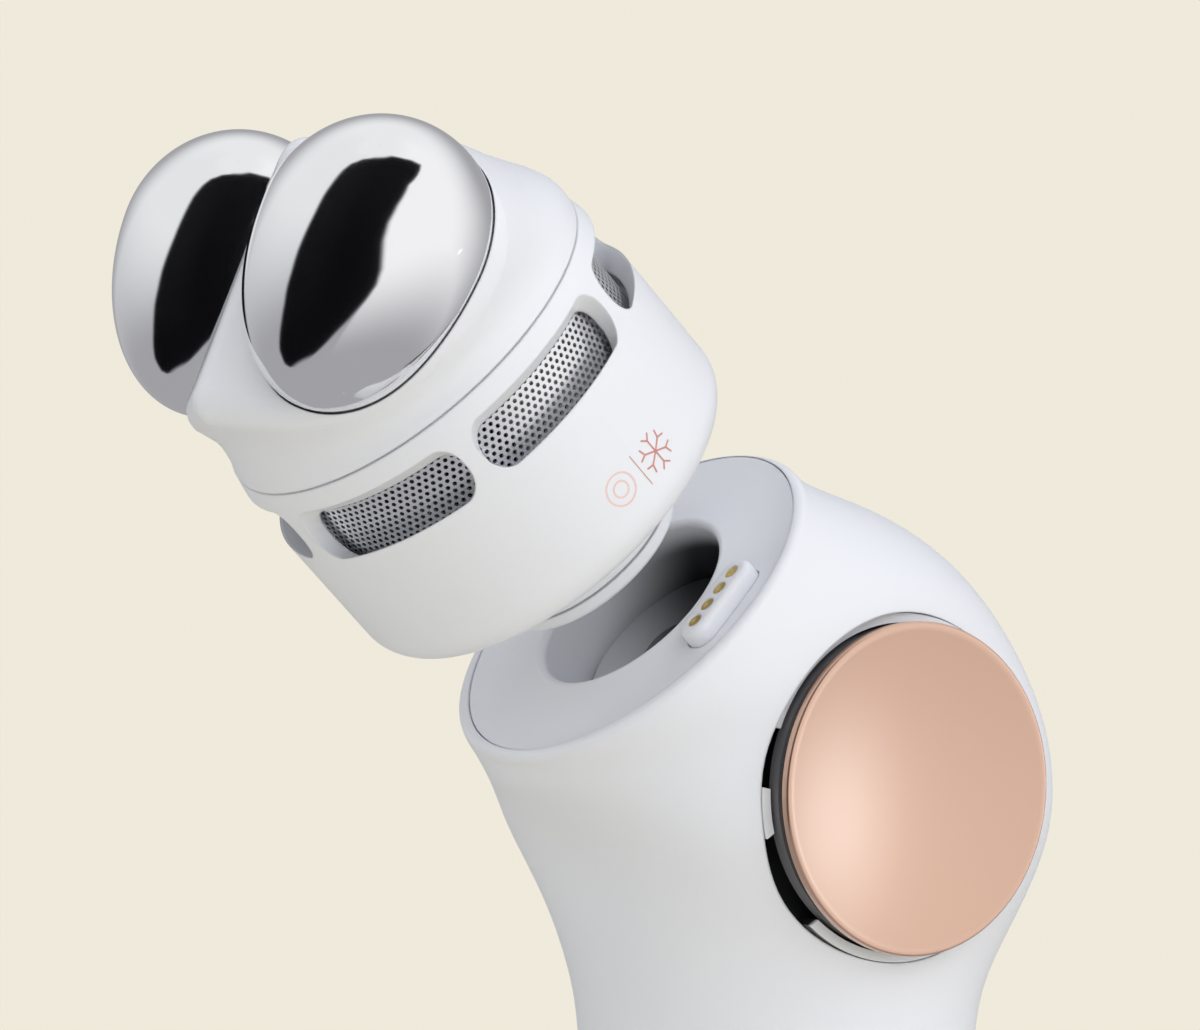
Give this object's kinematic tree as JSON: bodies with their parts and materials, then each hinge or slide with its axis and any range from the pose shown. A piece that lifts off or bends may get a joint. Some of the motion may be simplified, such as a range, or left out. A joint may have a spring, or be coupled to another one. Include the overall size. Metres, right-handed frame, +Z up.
{
  "type": "facial toning device",
  "caption": "Handheld facial toning device: upright handle, leaning socket, lift-off head with paired round metal electrodes, vent windows and a large round side button.",
  "frame": {"origin": "centre of the flat foot, on the handle's axis", "axes": "+Z up along the handle, -Y towards the front where the head leans, +X towards the round button"},
  "size_m": [0.0574, 0.1128, 0.1795],
  "materials": {
    "shell_white": "satin moulded white",
    "socket_white": "satin moulded white, finer",
    "electrode_chrome": "mirror polished",
    "disc_metal": "satin anodised, warm rose tone",
    "button_plastic": "moulded light grey",
    "well_plastic": "moulded light grey",
    "mesh_steel": "perforated sheet, satin",
    "contact_gold": "gold plated",
    "board": "coated circuit board",
    "component_black": "moulded black",
    "rubber_dark": "soft matte",
    "inner_plastic": "moulded dark grey",
    "cell_sleeve": "sleeved can",
    "screw_steel": "plain",
    "magnet_steel": "nickel plated",
    "cooling_aluminium": "machined",
    "cooling_ceramic": "white ceramic plates"
  },
  "bodies": {
    "body": {"handle_shell": "shell_white", "socket_dish": "socket_white", "contact_block": "socket_white", "contact_pads": "contact_gold", "contact_board": "board", "socket_floor": "inner_plastic", "socket_keeper": "magnet_steel", "button_well": "well_plastic", "button_dome": "rubber_dark", "button_board": "board", "button_switch": "component_black", "base_cap": "shell_white", "foot_pad": "rubber_dark", "base_screws": "screw_steel", "chassis": "inner_plastic", "battery_cradle": "inner_plastic", "battery_cell": "cell_sleeve", "board_standoffs": "inner_plastic", "main_board": "board", "board_screws": "screw_steel", "board_chips": "component_black", "charge_port": "screw_steel", "charge_board": "board"},
    "button": {"button_disc": "disc_metal", "button_carrier": "button_plastic"},
    "head": {"head_band": "shell_white", "vent_mesh": "mesh_steel", "seam_gasket": "rubber_dark", "head_cap": "shell_white", "electrode_left": "electrode_chrome", "electrode_right": "electrode_chrome", "core_left": "cooling_aluminium", "core_right": "cooling_aluminium", "electrode_carrier": "inner_plastic", "peltier_modules": "cooling_ceramic", "heat_sink": "cooling_aluminium", "fan_frame": "inner_plastic", "fan_motor": "magnet_steel", "head_base": "socket_white", "head_screws": "screw_steel", "head_board": "board", "pin_block": "component_black", "plug_collar": "socket_white", "plug_magnet": "magnet_steel", "plug_tip": "socket_white"},
    "fan": {"fan_rotor": "inner_plastic", "fan_shaft": "screw_steel"},
    "pins": {"spring_pins": "contact_gold"}
  },
  "joints": [
    {"name": "head_slide", "type": "slide", "parent": "body", "child": "head", "axis": [0, -0.7242, 0.6896], "range_m": [-0.0147, 0.02]},
    {"name": "button_press", "type": "slide", "parent": "body", "child": "button", "axis": [-1, 0, 0], "range_m": [0, 0.0009], "stiffness_N_per_m": 1500, "springref_m": -0.0006, "deforming": ["button_dome"]},
    {"name": "fan_spin", "type": "hinge", "parent": "head", "child": "fan", "pos_m": [0, -0.04, 0.14224], "axis": [0, -0.7242, 0.6896], "continuous": true},
    {"name": "pin_press", "type": "slide", "parent": "head", "child": "pins", "axis": [0, -0.7242, 0.6896], "range_m": [0, 0.0004], "stiffness_N_per_m": 400, "springref_m": -0.0003}
  ]
}
